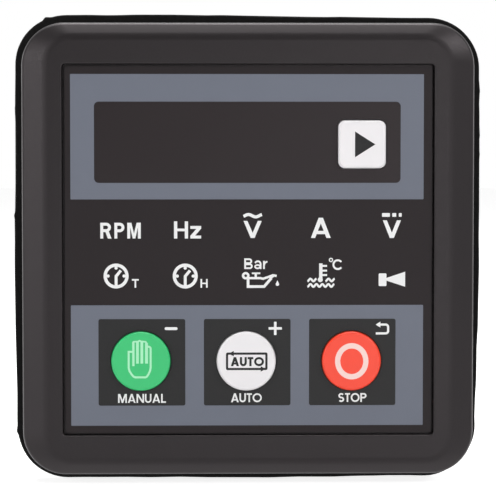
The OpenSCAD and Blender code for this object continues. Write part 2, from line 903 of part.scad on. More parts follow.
// Clamp screw on the right side, with its tip a panel's thickness behind the seat
module clamp_screw() {
    r = clamp_d / 2;
    tip = 0.6;
    head_r = clamp_head_d / 2;
    head_chamfer = 0.8;
    end = clamp_l + clamp_head_t;
    color("#b4b8bd")
    translate([clamp_x, panel_gap, 0])
        rotate([-90, 0, 0])
            difference() {
                rotate_extrude()
                    polygon([
                        [0, 0], [r - tip, 0], [r, tip], [r, clamp_l], [head_r, clamp_l],
                        [head_r, end - head_chamfer], [head_r - head_chamfer, end], [0, end]
                    ]);
                translate([0, 0, end]) cube([2 * clamp_head_d, clamp_slot, clamp_head_t], center = true);
            }
}

module right_clip() { clip(); }

module left_clip() { rotate([0, 180, 0]) clip(); }

module right_clamp_screw() { clamp_screw(); }

module left_clamp_screw() { rotate([0, 180, 0]) clamp_screw(); }

front_bezel();
face_overlay();
panel_gasket();
manual_key();
auto_key();
stop_key();
scroll_key();
manual_plunger();
auto_plunger();
stop_plunger();
scroll_plunger();
key_switches();
display_board();
digit_display();
indicator_lamps();
display_board_screws();
link_header();
link_pins();
link_socket();
main_board();
main_board_screws();
output_relays();
filter_capacitors();
power_choke();
current_transformers();
microcontroller();
upper_socket();
upper_pins();
upper_plug();
upper_cages();
upper_wire_screws();
lower_socket();
lower_pins();
lower_plug();
lower_cages();
lower_wire_screws();
rear_housing();
left_clip();
right_clip();
left_clamp_screw();
right_clamp_screw();
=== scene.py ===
"""Looks of a panel-mounted generator set controller: finishes, print, soft edges and stage."""

import math

import bmesh
import bpy
from bpy.props import FloatProperty, FloatVectorProperty, PointerProperty
from mathutils import Matrix, Vector, noise


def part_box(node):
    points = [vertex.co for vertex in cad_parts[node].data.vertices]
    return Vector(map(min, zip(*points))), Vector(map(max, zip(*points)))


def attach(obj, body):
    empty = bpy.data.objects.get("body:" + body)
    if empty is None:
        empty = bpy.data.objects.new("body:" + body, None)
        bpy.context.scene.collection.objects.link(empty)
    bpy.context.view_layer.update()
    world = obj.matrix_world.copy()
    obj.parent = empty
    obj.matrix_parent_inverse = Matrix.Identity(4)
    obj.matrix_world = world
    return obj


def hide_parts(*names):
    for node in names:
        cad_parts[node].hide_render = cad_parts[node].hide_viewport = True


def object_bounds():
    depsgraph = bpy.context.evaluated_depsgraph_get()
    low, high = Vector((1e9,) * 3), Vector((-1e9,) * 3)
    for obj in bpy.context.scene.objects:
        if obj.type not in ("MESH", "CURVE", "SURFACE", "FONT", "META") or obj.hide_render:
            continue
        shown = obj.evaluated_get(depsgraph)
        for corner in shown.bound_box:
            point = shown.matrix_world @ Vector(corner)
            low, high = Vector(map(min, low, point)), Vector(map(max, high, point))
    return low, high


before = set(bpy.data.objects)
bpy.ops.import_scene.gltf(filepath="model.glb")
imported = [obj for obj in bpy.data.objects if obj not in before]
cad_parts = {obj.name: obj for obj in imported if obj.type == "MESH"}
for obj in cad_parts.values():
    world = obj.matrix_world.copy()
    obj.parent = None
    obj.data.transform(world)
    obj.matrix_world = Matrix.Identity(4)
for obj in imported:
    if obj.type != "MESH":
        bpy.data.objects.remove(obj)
cad_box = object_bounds()

bl_info = {
    "name": "Generator set controller",
    "version": (1, 0, 0),
    "blender": (4, 5, 0),
    "location": "View3D > Sidebar > Controller",
    "description": "Dresses the packed controller and sets its stage",
    "category": "Object",
}

MM = 0.001
# Sheen of the black surfaces, a little warmer than the light
WARM_SHEEN = "#fff5f9"
# How far the hand-cut gasket stands out, in mm, down the sides and from left to right,
# and the stretch of an edge that these values cover
CUT_LEFT = (0.19, 0.08, 0.35, 0.28, 0.02)
CUT_RIGHT = (0.22, 0.24, 0.29, 0.19, -0.3)
CUT_TOP = (0.23, 0.21, 0.09, -0.14, -0.3)
CUT_BOTTOM = (0.05, 0.11, 0.13, 0.11, -0.13)
CUT_SPAN = 58 * MM
# Distances from the middle of the sheet between which the cut takes hold
CUT_START = 30 * MM
CUT_FULL = 37 * MM
# Points this far outside the housing belong to the cut edge
CUT_BAND = 2 * MM
# Spacing of points along the cut edge, and its rounding
CUT_STEP = 0.4 * MM
CUT_ROUND = 0.3 * MM
# Shift between the two readings of the wave
WAVE_APART = Vector((7, 3, 5))
# Burrs that the knife left on the gasket: place to the right and up, and height, in mm
BURRS = (
    (-35.2, 40.2, 0.38), (40.6, 27.4, 0.24), (40.6, 19.6, 0.16), (40.6, 16.4, 0.14),
    (-40.6, 24.2, 0.06), (-40.6, 5.6, 0.2), (-40.6, -32.3, 0.22),
)
# How far round its place a burr reaches
BURR_W = 0.95 * MM
# The uneven edge reaches this far below the drawn one
GASKET_DIP = 0.25 * MM
# How much prouder one printed shape is than the one before it
INK_STEP = 0.0015 * MM
# Points closer than this are merged
MERGE = 0.001 * MM
# Turns in degrees below which faces are one flat face, and above which an edge stays sharp
FLAT_ANGLE = 0.6
SHARP_ANGLE = 38
# Limit that keeps the mitre of a sharp bend from growing a spike
MITRE_LIMIT = 0.3
# Slack when points are told apart by their place
SLACK = 0.01 * MM
# Clamp screw: where its shank is measured, what stands out past that as the head, and its rounding
SHANK_L = 5 * MM
HEAD_OUT = 0.5 * MM
HEAD_EDGE = 0.18 * MM
# Thread: points in a turn, the plain tip, how far the ridge is sunk in the core,
# and half the ridge's foot and crest beside the pitch
THREAD_STEPS = 24
THREAD_TIP = 0.7 * MM
THREAD_SUNK = 0.05 * MM
THREAD_FOOT = 0.42
THREAD_CREST = 0.06
# Lamps: name, place and size in metres, and watts
LAMPS = (
    ("top_softbox", (0.0, -0.1, 0.88), 0.6, 5.6),
    ("left_softbox", (-0.66, -0.72, 0.2), 0.4, 2.4),
    ("corner_lamp", (0.58, -0.64, 0.44), 0.2, 2.2),
    ("front_lamp", (0.2, -0.97, -0.03), 0.25, 1.4),
    ("top_rim_lamp", (0.0, 0.22, 0.8), 0.4, 2.6),
    ("right_rim_lamp", (0.7, 0.5, 0.1), 0.4, 1.1),
    ("left_rim_lamp", (-0.7, 0.5, 0.1), 0.4, 1.1),
)
# Half the floor's width in metres, and what it adds to its lit colour to show white to the camera
FLOOR_HALF = 3
FLOOR_LIFT = 0.82
# In reflections the floor turns from dim to white between these depths, counted from the face
FLOOR_DIM = -7 * MM
FLOOR_WHITE = 2 * MM
# Strength of the surround as light, and of the room before the face in reflections
ROOM_LIGHT = 0.1
ROOM_MIRRORED = 0.1
# The room turns to white between these directions along Y: -1 is ahead of the face, 1 behind it
ROOM_DIM = -0.5
ROOM_WHITE = 0.1
# Closest distance that the camera sees
CAMERA_NEAR = 10 * MM


def linear(hex_code):
    """Turns an sRGB hex colour to linear RGB."""
    channels = [int(hex_code[i:i + 2], 16) / 255 for i in (1, 3, 5)]
    return tuple(c / 12.92 if c <= 0.04045 else ((c + 0.055) / 1.055) ** 2.4 for c in channels)


def opaque(hex_code):
    """An sRGB hex colour as linear RGB with full alpha."""
    return (*linear(hex_code), 1)


def colour(name, description, hex_code):
    """A colour that the user can change."""
    return FloatVectorProperty(
        name=name, description=description, default=linear(hex_code), subtype="COLOR", size=3,
        min=0, max=1,
    )


def length(name, description, millimetres):
    """A length that the user can change."""
    return FloatProperty(
        name=name, description=description, default=millimetres * MM, unit="LENGTH", precision=6
    )


def angle(name, description, degrees):
    """An angle that the user can change."""
    return FloatProperty(
        name=name, description=description, default=math.radians(degrees), unit="ROTATION"
    )


class ControllerSizes(bpy.types.PropertyGroup):
    """Sizes of what is added to the solids"""

    ink_t: length("Ink layer", "Thickness of one printed layer", 0.014)
    bezel_edge: length("Bezel edge", "Rounding of the bezel's outer front edge", 0.5)
    bezel_ridge: length("Bezel ridge", "Rounding where the sloping bands meet the flat front", 0.8)
    bezel_lip: length("Bezel lip", "Rounding round the recess of the film", 0.28)
    key_edge: length("Key edge", "Rounding of the key shoulders", 0.12)
    housing_edge: length("Housing edge", "Rounding of the housing's edges", 0.25)
    terminal_edge: length("Terminal edge", "Rounding of the terminal blocks' edges", 0.12)
    clip_edge: length("Clip edge", "Rounding left by stamping the clips", 0.12)
    gasket_wave: length("Gasket wave", "Unevenness of the cut gasket edge", 0.16)
    gasket_wave_l: length("Gasket wave length", "Distance between waves of the cut edge", 7)
    thread_pitch: length("Thread pitch", "Pitch of the clamp screws' thread", 0.5)
    thread_depth: length("Thread depth", "Depth of the clamp screws' thread", 0.26)
    camera_distance: length("Camera distance", "Distance of the camera from the bezel", 350)
    view_w: length("View width", "Width that the camera sees at the bezel", 85.28)
    aim_right: length("Aim right", "How far right of the middle the camera looks", -0.09)
    aim_up: length("Aim up", "How far above the middle the camera looks", 0.65)
    view_left: angle("View from the left", "How far to the left the camera stands", 1.15)
    view_above: angle("View from above", "How far above the camera stands", 2.6)


class ControllerColours(bpy.types.PropertyGroup):
    """Colours of the pieces"""

    bezel: colour("Bezel", "Black moulding of the bezel", "#0e0b0c")
    housing: colour("Housing", "Black moulding of the housing", "#272526")
    gasket: colour("Gasket", "Black sealing rubber", "#090808")
    film: colour("Film", "Black printed film", "#201c1d")
    window: colour("Window", "Smoked display window", "#181213")
    field: colour("Grey field", "Grey fields of the face", "#6a6f7c")
    legend: colour("Legend", "White legends and symbols", "#f0f0f0")
    green: colour("Green key", "Moulding of the manual key", "#34c776")
    white: colour("White key", "Moulding of the white keys", "#f0edef")
    red: colour("Red key", "Moulding of the stop key", "#ff4428")
    pale_green: colour("Hand print", "Hand on the manual key", "#aef2c6")
    pale_red: colour("Ring print", "Ring on the stop key", "#ffdad4")
    black_ink: colour("Black print", "Print on the white keys and the key tiles", "#0c0b0d")
    terminal: colour("Terminal green", "Moulding of the terminal blocks", "#1f8f4e")
    board: colour("Board", "Solder mask of the circuit boards", "#16482c")
    zinc: colour("Zinc", "Zinc plating of clips and screws", "#c3c7cb")


def sizes():
    """The sizes now set."""
    return bpy.context.scene.controller_sizes


def paint(name):
    """One of the colours now set, with full alpha."""
    return (*getattr(bpy.context.scene.controller_colours, name), 1)


# Materials

def add(tree, kind, inputs=(), **settings):
    """Adds a node, sets it up, and links or fills its inputs."""
    made = tree.nodes.new(kind)
    for name, value in settings.items():
        setattr(made, name, value)
    for socket, value in dict(inputs).items():
        if isinstance(value, bpy.types.NodeSocket):
            tree.links.new(value, made.inputs[socket])
        else:
            made.inputs[socket].default_value = value
    return made


def start_material(name, **sockets):
    """A new material, its node tree and its shader with constant values set on its sockets."""
    material = bpy.data.materials.new(name)
    material.use_nodes = True
    shader = material.node_tree.nodes["Principled BSDF"]
    for socket, value in sockets.items():
        shader.inputs[socket.replace("_", " ").title().replace("Ior", "IOR")].default_value = value
    return material, material.node_tree, shader


def shaded(rgba, factor):
    """A colour made lighter or darker."""
    return (*(min(1, c * factor) for c in rgba[:3]), 1)


def cover(name, rgba, roughness, grain, depth, mottle=0.08, cloud=9, spread=0.1, **sockets):
    """A surface with a fine grain in relief and gloss, and faint broad clouds in its colour.
    Grain and cloud are sizes in millimetres, depth is the relief in millimetres."""
    material, tree, shader = start_material(name, **sockets)
    place = add(tree, "ShaderNodeTexCoord").outputs["Object"]
    broad = add(tree, "ShaderNodeTexNoise", {"Vector": place, "Scale": 1 / (cloud * MM), "Detail": 3})
    fine = add(tree, "ShaderNodeTexNoise", {"Vector": place, "Scale": 1 / (grain * MM), "Detail": 4})
    tint = add(tree, "ShaderNodeMix", {
        "Factor": broad.outputs["Fac"], 6: shaded(rgba, 1 - mottle), 7: shaded(rgba, 1 + mottle)
    }, data_type="RGBA")
    gloss = add(tree, "ShaderNodeMapRange", {
        "Value": fine.outputs["Fac"], "From Min": 0.3, "From Max": 0.7,
        "To Min": roughness - spread, "To Max": roughness + spread,
    })
    relief = add(tree, "ShaderNodeBump", {"Height": fine.outputs["Fac"], "Distance": depth * MM})
    tree.links.new(tint.outputs[2], shader.inputs["Base Color"])
    tree.links.new(gloss.outputs["Result"], shader.inputs["Roughness"])
    tree.links.new(relief.outputs["Normal"], shader.inputs["Normal"])
    return material


def satin_abs():
    """Black ABS from a spark-eroded mould: satin, with a grain that softens each highlight.
    The grain of a real mould is nearer 0.05 mm and is drawn coarser so that it shows."""
    return cover(
        "satin_black_abs", paint("bezel"), roughness=0.43, grain=0.18, depth=0.002, ior=1.54,
        specular_tint=opaque(WARM_SHEEN), specular_ior_level=0.47,
    )


def housing_abs():
    """Black ABS with a coarser erosion grain than the bezel's, so it looks a little flatter."""
    return cover(
        "grained_black_abs", paint("housing"), roughness=0.5, grain=0.3, depth=0.014, ior=1.54
    )


def rubber():
    """EPDM sheet cut with a knife: nearly black and dull, with a pebbly skin."""
    return cover(
        "epdm_rubber", paint("gasket"), roughness=0.82, grain=0.5, depth=0.03, ior=1.52,
        specular_ior_level=0.22,
    )


def polyester_film():
    """Polyester film under an acrylic hard coat: an even velvet black with a low sheen."""
    return cover(
        "velvet_polyester", paint("film"), roughness=0.5, grain=0.12, depth=0.003, mottle=0.05,
        ior=1.49, specular_tint=opaque(WARM_SHEEN), specular_ior_level=0.3,
    )


def window_film():
    """Smoked window of the same film, smoother, so that reflections are a little sharper."""
    return cover(
        "smoked_polyester", paint("window"), roughness=0.42, grain=0.16, depth=0.0012, mottle=0.04,
        ior=1.49, specular_tint=opaque(WARM_SHEEN), specular_ior_level=0.43,
    )


def screen_ink(name, rgba):
    """Screen-printed ink: even and matt, with the faint mesh-sized unevenness of the screen."""
    return cover(name, rgba, roughness=0.5, grain=0.2, depth=0.0015, mottle=0.03, ior=1.5)


def key_plastic(name, rgba):
    """ABS key cap from a polished mould: bright colour with a soft gloss on its shoulder."""
    return cover(
        name, rgba, roughness=0.36, grain=0.22, depth=0.0025, mottle=0.035, spread=0.05, ior=1.54
    )


def moulded(name, rgba, roughness=0.42):
    """Moulded polyamide, and like it cast epoxy, shrunk sleeve and pressed ferrite:
    slightly waxy, with faint flow clouds in the colour."""
    return cover(name, rgba, roughness, grain=0.25, depth=0.005, mottle=0.1, cloud=5, ior=1.53)


def plated_metal(name, rgba, roughness):
    """Plated steel or brass: bright metal with the dull bloom and fine dimples of the plating."""
    return cover(name, rgba, roughness, grain=0.3, depth=0.004, mottle=0.1, cloud=4, metallic=1)


def solder_mask():
    """Glass-epoxy board under green solder mask: copper tracks show paler through the lacquer.
    Tracks run on a grid of half the 2.54 mm pin spacing."""
    green = paint("board")
    material, tree, shader = start_material("solder_mask", ior=1.55, roughness=0.3)
    place = add(tree, "ShaderNodeTexCoord").outputs["Object"]
    turned = add(tree, "ShaderNodeMapping", {"Vector": place, "Rotation": (math.pi / 2, 0, 0)})
    tracks = add(tree, "ShaderNodeTexBrick", {
        "Vector": turned.outputs["Vector"], "Scale": 1, "Color1": green, "Color2": shaded(green, 0.8),
        "Mortar": shaded(green, 1.9), "Mortar Size": 0.12 * MM,
        "Brick Width": 5.08 * MM, "Row Height": 1.27 * MM,
    })
    relief = add(tree, "ShaderNodeBump", {"Height": tracks.outputs["Fac"], "Distance": 0.03 * MM})
    tree.links.new(tracks.outputs["Color"], shader.inputs["Base Color"])
    tree.links.new(relief.outputs["Normal"], shader.inputs["Normal"])
    return material


def lamp_resin():
    """Diffused epoxy lamp: milky and a little see-through."""
    return cover(
        "diffused_epoxy", opaque("#ddd7ce"), roughness=0.25, grain=0.4, depth=0.002, ior=1.51,
        transmission_weight=0.35,
    )


# Moulded and pressed pieces on the boards: finish, colour, roughness and nodes
INNER_FINISHES = (
    ("black_connector", "#1d1c1d", 0.42, "link_header", "link_socket"),
    ("black_display_case", "#201f1f", 0.35, "digit_display"),
    ("relay_case", "#1b1d22", 0.4, "output_relays"),
    ("shrunk_sleeve", "#26335a", 0.35, "filter_capacitors"),
    ("sintered_ferrite", "#3a332e", 0.6, "power_choke"),
    ("transformer_shell", "#234579", 0.4, "current_transformers"),
    ("chip_epoxy", "#161618", 0.55, "microcontroller"),
)


# Meshes

def middle(node):
    """Middle of a node's box."""
    low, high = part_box(node)
    return (low + high) / 2


def make_object(name, bm, material):
    """Makes a shape an object of one material."""
    mesh = bpy.data.meshes.new(name)
    bm.to_mesh(mesh)
    bm.free()
    mesh.materials.append(material)
    made = bpy.data.objects.new(name, mesh)
    bpy.context.scene.collection.objects.link(made)
    return made


def new_piece(name, bm, body, material, replaces=()):
    """Makes a shape a piece that rides on a body. One that stands in for nodes has rounded edges,
    so its large flat faces keep their own shading."""
    piece = make_object(name, bm, material)
    piece.data.shade_smooth()
    piece.data.set_sharp_from_angle(angle=math.radians(SHARP_ANGLE))
    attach(piece, body)
    if replaces:
        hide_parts(*replaces)
        piece.modifiers.new("flat_faces", "WEIGHTED_NORMAL").keep_sharp = True


def cad_copy(node):
    """A merged copy of a node's mesh with its flat faces whole."""
    bm = bmesh.new()
    bm.from_mesh(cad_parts[node].data)
    bmesh.ops.remove_doubles(bm, verts=bm.verts, dist=MERGE)
    flat = math.radians(FLAT_ANGLE)
    bmesh.ops.dissolve_limit(bm, angle_limit=flat, verts=bm.verts, edges=bm.edges)
    return bm


def rising(value, start, stop):
    """Share of the way from start to stop, kept between none and all."""
    return min(max((value - start) / (stop - start), 0), 1)


def reading(values, share):
    """Value at a share of the way along a row of evenly spaced values."""
    step = rising(share, 0, 1) * (len(values) - 1)
    i = min(int(step), len(values) - 2)
    return values[i] + (values[i + 1] - values[i]) * (step - i)


def round_edges(bm, width, segments=2, sharper=30, wanted=lambda edge: True):
    """Rounds the edges that turn by more than an angle in degrees and that are wanted."""
    limit = math.radians(sharper)
    edges = [e for e in bm.edges if e.is_manifold and e.calc_face_angle() > limit and wanted(e)]
    bmesh.ops.bevel(
        bm, geom=edges, offset=width, offset_type="OFFSET", affect="EDGES", segments=segments,
        profile=0.5, material=-1, clamp_overlap=True,
    )


def dress_copy(node, width, body, material, segments=2):
    """Stands a copy with rounded edges in for a node."""
    bm = cad_copy(node)
    round_edges(bm, width, segments)
    new_piece(node + "_finished", bm, body, material, [node])


def finish_nodes(material, *nodes):
    """Gives CAD nodes a finish."""
    for node in nodes:
        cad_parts[node].material_slots[0].material = material


# Flat outlines in millimetres: x to the right, z up

def arc(x, z, radius, start, stop, steps=10):
    """Points of an arc from one angle in degrees to another."""
    angles = [math.radians(start + (stop - start) * i / steps) for i in range(steps + 1)]
    return [(x + radius * math.cos(a), z + radius * math.sin(a)) for a in angles]


def oval(x, z, half_w, half_h, steps=64):
    """Outline of an oval."""
    return [(x + half_w * px, z + half_h * pz) for px, pz in arc(0, 0, 1, 0, 360, steps)[:-1]]


def rounded(x, z, width, height, radius):
    """Outline of a rectangle with round corners."""
    points = []
    for side, rise, start in ((1, 1, 0), (-1, 1, 90), (-1, -1, 180), (1, -1, 270)):
        corner_x = x + side * (width / 2 - radius)
        corner_z = z + rise * (height / 2 - radius)
        points += arc(corner_x, corner_z, radius, start, start + 90, 6)
    return points


def between(left, right, bottom, top, radius):
    """Outline of a rectangle with round corners, given by its four sides."""
    return rounded((left + right) / 2, (bottom + top) / 2, right - left, top - bottom, radius)


def stroke(points, width):
    """Outline of an open line of even width, mitred at its bends."""
    path = [Vector(p) for p in points]
    left, right = [], []
    for i, point in enumerate(path):
        along = [(path[j + 1] - path[j]).normalized() for j in (i - 1, i) if 0 <= j < len(path) - 1]
        across = (along[0] + along[-1]).orthogonal().normalized()
        reach = width / 2 / max(MITRE_LIMIT, across.dot(along[0].orthogonal()))
        left.append(tuple(point + across * reach))
        right.append(tuple(point - across * reach))
    return left + right[::-1]


def add_slab(bm, loops, back, front):
    """Fills flat outlines, the later ones as holes, and thickens them between two Y planes."""
    edges = []
    for loop in loops:
        verts = [bm.verts.new((x * MM, back, z * MM)) for x, z in loop]
        edges += [bm.edges.new((verts[i - 1], vert)) for i, vert in enumerate(verts)]
    filled = bmesh.ops.triangle_fill(bm, use_beauty=True, use_dissolve=False, edges=edges)
    faces = [part for part in filled["geom"] if isinstance(part, bmesh.types.BMFace)]
    raised = bmesh.ops.extrude_face_region(bm, geom=faces)
    verts = [part for part in raised["geom"] if isinstance(part, bmesh.types.BMVert)]
    bmesh.ops.translate(bm, vec=(0, front - back, 0), verts=verts)


# Letters as outlines: width, height and stroke in millimetres, from the lower left corner

def bowl(w, top, foot, t):
    """Bow of a P, R or B between two heights."""
    r = (top - foot - t) / 2
    middle_z = (top + foot) / 2
    bend = arc(w - t / 2 - r, middle_z, r, 90, -90, 14)
    return [stroke([(0, top - t / 2), *bend, (0, foot + t / 2)], t)]


def ring(x, z, half_w, half_h, t):
    """Oval ring with a stroke."""
    return [oval(x, z, half_w, half_h, 48), oval(x, z, half_w - t, half_h - t, 48)]


def bar(left, right, bottom, top):
    """Plain upright rectangle."""
    return [[(left, bottom), (right, bottom), (right, top), (left, top)]]


def letter_a(w, h, t):
    lean = (w / 2 - 0.56 * t) / h
    foot = 1.12 * t
    low, high = 0.19 * h, 0.19 * h + 0.85 * t
    peak = (w / 2 - foot) / lean
    outer = [
        (0, 0), (foot, 0), (foot + lean * low, low), (w - foot - lean * low, low),
        (w - foot, 0), (w, 0), (w / 2 + 0.56 * t, h), (w / 2 - 0.56 * t, h),
    ]
    return [[outer, [(foot + lean * high, high), (w - foot - lean * high, high), (w / 2, peak)]]]


def letter_b(w, h, t):
    return [bar(0, t, 0, h), bowl(0.94 * w, h, 0.47 * h, t), bowl(w, 0.53 * h, 0, t)]


def letter_h(w, h, t):
    cross = 0.82 * t
    rung = bar(t / 2, w - t / 2, (h - cross) / 2, (h + cross) / 2)
    return [bar(0, t, 0, h), bar(w - t, w, 0, h), rung]


def letter_l(w, h, t):
    return [bar(0, t, 0, h), bar(t / 2, w, 0, t)]


def letter_m(w, h, t):
    half = [(0, 0), (0, h), (1.4 * t, h), (w / 2, 0.32 * h)]
    inner = [(w / 2 - 0.45 * t, 0), (t, 0.7 * h), (t, 0)]
    mirrored = [(w - x, z) for x, z in reversed(half[:-1])]
    return [[half + mirrored + [(w - x, z) for x, z in reversed(inner)] + inner]]


def letter_n(w, h, t):
    return [[[
        (0, 0), (0, h), (1.15 * t, h), (w - t, 1.75 * t), (w - t, h), (w, h),
        (w, 0), (w - 1.15 * t, 0), (t, h - 1.75 * t), (t, 0),
    ]]]


def letter_o(w, h, t):
    return [ring(w / 2, h / 2, w / 2, h / 2, t)]


def letter_p(w, h, t):
    return [bar(0, t, 0, h), bowl(w, h, 0.4 * h, t)]


def letter_r(w, h, t):
    leg = [(0.42 * w, 0.48 * h), (0.42 * w + 1.25 * t, 0.48 * h), (w, 0), (w - 1.25 * t, 0)]
    return [bar(0, t, 0, h), bowl(0.95 * w, h, 0.41 * h, t), [leg]]


def letter_s(w, h, t):
    r = (h - t) / 4
    squeeze = (w - t) / (2 * r)
    upper = arc(0, 0, r, 35, 270, 14)
    lower = arc(0, 0, r, 90, -145, 14)[1:]
    path = [(w / 2 + x * squeeze, h / 2 + r + z) for x, z in upper]
    path += [(w / 2 + x * squeeze, h / 2 - r + z) for x, z in lower]
    return [[stroke(path, t)]]


def letter_t(w, h, t):
    return [bar(0, w, h - t, h), bar((w - t) / 2, (w + t) / 2, 0, h - t / 2)]


def letter_u(w, h, t):
    r = (w - t) / 2
    return [[stroke([(t / 2, h), *arc(w / 2, t / 2 + r, r, 180, 360, 14), (w - t / 2, h)], t)]]


def letter_v(w, h, t):
    return [[[
        (0, h), (1.15 * t, h), (w / 2, 0.3 * h), (w - 1.15 * t, h), (w, h),
        (w / 2 + 0.57 * t, 0), (w / 2 - 0.57 * t, 0),
    ]]]


def small_a(w, h, t):
    x_h = 0.76 * h
    bend = arc(w / 2, 0.62 * x_h, w / 2 - t / 2, 140, 0, 10)
    hook = [(0.1 * w, 0.76 * x_h), *bend, (w - t / 2, 0)]
    return [[stroke(hook, t)], ring(0.46 * w, 0.29 * x_h, 0.46 * w, 0.3 * x_h, 0.9 * t)]


def small_r(w, h, t):
    x_h = 0.76 * h
    return [bar(0, t, 0, x_h), [stroke(arc(w, 0.5 * x_h, 0.5 * x_h - t / 2, 180, 90, 8), t)]]


def small_z(w, h, t):
    x_h = 0.73 * h
    slant = [(0, 0.8 * t), (w - 1.4 * t, x_h - 0.8 * t), (w, x_h - 0.8 * t), (1.4 * t, 0.8 * t)]
    return [bar(0, w, 0, 0.9 * t), bar(0, w, x_h - 0.9 * t, x_h), [slant]]


# Each letter's outline and its width beside the height of a capital
LETTERS = {
    "A": (letter_a, 0.84), "B": (letter_b, 0.7), "H": (letter_h, 0.8), "L": (letter_l, 0.52),
    "M": (letter_m, 0.94), "N": (letter_n, 0.8), "O": (letter_o, 1.0), "P": (letter_p, 0.7),
    "R": (letter_r, 0.78), "S": (letter_s, 0.66), "T": (letter_t, 0.58), "U": (letter_u, 0.7),
    "V": (letter_v, 0.94), "a": (small_a, 0.6), "r": (small_r, 0.36), "z": (small_z, 0.62),
}


def lettering(text, box, weight, space):
    """Outlines of a word that fills a box of left, right, bottom and top.
    Weight is the stroke beside the height, space the gap beside the height."""
    left, right, bottom, top = box
    height = top - bottom
    full = sum(LETTERS[letter][1] for letter in text) * height
    stretch = (right - left - (len(text) - 1) * space * height) / full
    shapes = []
    for letter in text:
        outline, share = LETTERS[letter]
        width = share * height * stretch
        for loops in outline(width, height, weight * height):
            shapes.append([[(left + x, bottom + z) for x, z in loop] for loop in loops])
        left += width + space * height
    return shapes


def print_piece(name, carrier_y, layer, body, slot, material, shapes):
    """Prints flat shapes on a front face, so many layers of ink thick.
    Each shape is a little prouder than the last, so none lie in one plane."""
    ink = sizes().ink_t
    back = carrier_y + ink / 2
    bm = bmesh.new()
    for i, loops in enumerate(shapes):
        add_slab(bm, loops, back, carrier_y - layer * ink - i * INK_STEP)
    bmesh.ops.recalc_face_normals(bm, faces=bm.faces)
    new_piece(name, bm, body, material)


# Layout of the printed face, in millimetres from the middle of the film
FIELD_R = 0.12
TOP_FIELD = (-30.57, 30.16, 8.66, 30.15)
LOWER_FIELD = (-30.57, 30.16, -30.39, -9.57)
WINDOW = (-26.5, 26.18, 11.49, 25.43)
WINDOW_R = 0.8
TILE_W = 14.95
TILE_H = 14.97
TILE_R = 0.35
TILE_Z = -19.44
TILE_RIGHT = 0.18
OVERLAP = 0.4
KEY_GAP = 0.15
SCROLL_R = 1.15

# Legends: text, box of left, right, bottom and top, stroke and gap beside the letter height
LEGENDS = (
    ("rpm_legend", "RPM", (-25.47, -18.52, 1.93, 4.65), 0.185, 0.18),
    ("frequency_legend", "Hz", (-12.81, -8.14, 1.93, 4.89), 0.19, 0.13),
    ("alternating_volts_legend", "V", (-0.86, 2.29, 2.02, 4.96), 0.2, 0),
    ("current_legend", "A", (10.75, 14.16, 2.01, 5.48), 0.19, 0),
    ("direct_volts_legend", "V", (23.15, 26.28, 2, 5.04), 0.2, 0),
    ("time_letter", "T", (-20.06, -18.88, -6.53, -5.04), 0.19, 0),
    ("hours_letter", "H", (-8.27, -7.03, -6.55, -5.05), 0.19, 0),
    ("pressure_legend", "Bar", (-0.73, 3.26, -3.34, -1.5), 0.165, 0.15),
    ("manual_legend", "MANUAL", (-22.5, -14.24, -26.45, -24.9), 0.17, 0.1),
    ("auto_legend", "AUTO", (-3.02, 2.31, -26.38, -24.83), 0.18, 0.07),
    ("stop_legend", "STOP", (15.54, 20.41, -26.38, -24.83), 0.18, 0.08),
)


def dial_sign(x, z):
    """Round counter dial with three marks and a bent hand."""
    hand = [(x, z - 1.7), (x, z - 0.04), (x + 0.82, z + 0.96)]
    spots = ((0, 1.38), (-1.38, 0), (1.38, 0))
    marks = [[oval(x + dx, z + dz, 0.28, 0.28, 20)] for dx, dz in spots]
    return [[oval(x, z, 2.15, 2.15), oval(x, z, 1.6, 1.6)], [stroke(hand, 0.5)], *marks]


def oil_can_sign():
    """Oil can with a ring handle, a filler cap, a spout and a drop."""
    body = [(-0.07, -4.91), (-0.07, -6.37), (2.7, -6.37), (3.95, -4.9)]
    shoulder = [
        (-0.07, -4.91), (2.1, -4.91), (2.5, -5.02), (3.3, -4.76), (4.2, -4.42), (4.85, -4.54),
    ]
    spout = [(3.3, -4.77), (4.2, -4.42), (4.4, -4.7), (3.9, -5)]
    drop = [(5, -5.3), *arc(4.98, -5.97, 0.29, 150, 390, 16)]
    return [
        [stroke(body, 0.47)],
        [stroke(shoulder, 0.4)],
        [spout],
        [oval(-0.48, -4.49, 0.66, 0.64, 32), oval(-0.48, -4.49, 0.24, 0.24, 24)],
        [stroke([(1.25, -4.08), (1.25, -4.91)], 0.4)],
        [stroke([(0.58, -4.08), (2.03, -4.08)], 0.3)],
        [drop],
    ]


def wavy(left, right, z, rise, wave, crest, steps, t):
    """Wavy line, with its wave length and the place of a crest as shares of its width."""
    points = []
    for i in range(steps + 1):
        turn = 2 * math.pi * (i / steps - crest) / wave
        points.append((left + (right - left) * i / steps, z + rise * math.cos(turn)))
    return [stroke(points, t)]


def ripple(left, right, z, rise, halves):
    """Line of a rippling water surface that starts in a trough, with so many half waves."""
    return wavy(left, right, z, rise, 2 / halves, 1 / halves, 6 * halves, t=0.36)


def coolant_sign():
    """Thermometer in rippling water, with a degree sign and a letter C."""
    ticks = [[stroke([(12.52, z), (13.54, z)], 0.33)] for z in (-2.81, -3.63, -4.4)]
    return [
        [stroke([(12.47, -2.38), (12.47, -5.13)], 0.58)],
        [oval(12.38, -5.19, 0.43, 0.43, 32)],
        *ticks,
        ripple(10.17, 11.72, -5.25, 0.22, 3),
        ripple(13.27, 14.87, -5.25, 0.22, 3),
        ripple(10.17, 14.8, -6.19, 0.23, 9),
        [oval(14.22, -1.79, 0.37, 0.37, 28), oval(14.22, -1.79, 0.19, 0.19, 24)],
        [stroke(arc(15.4, -2.6, 0.76, 38, 322, 28), 0.33)],
    ]


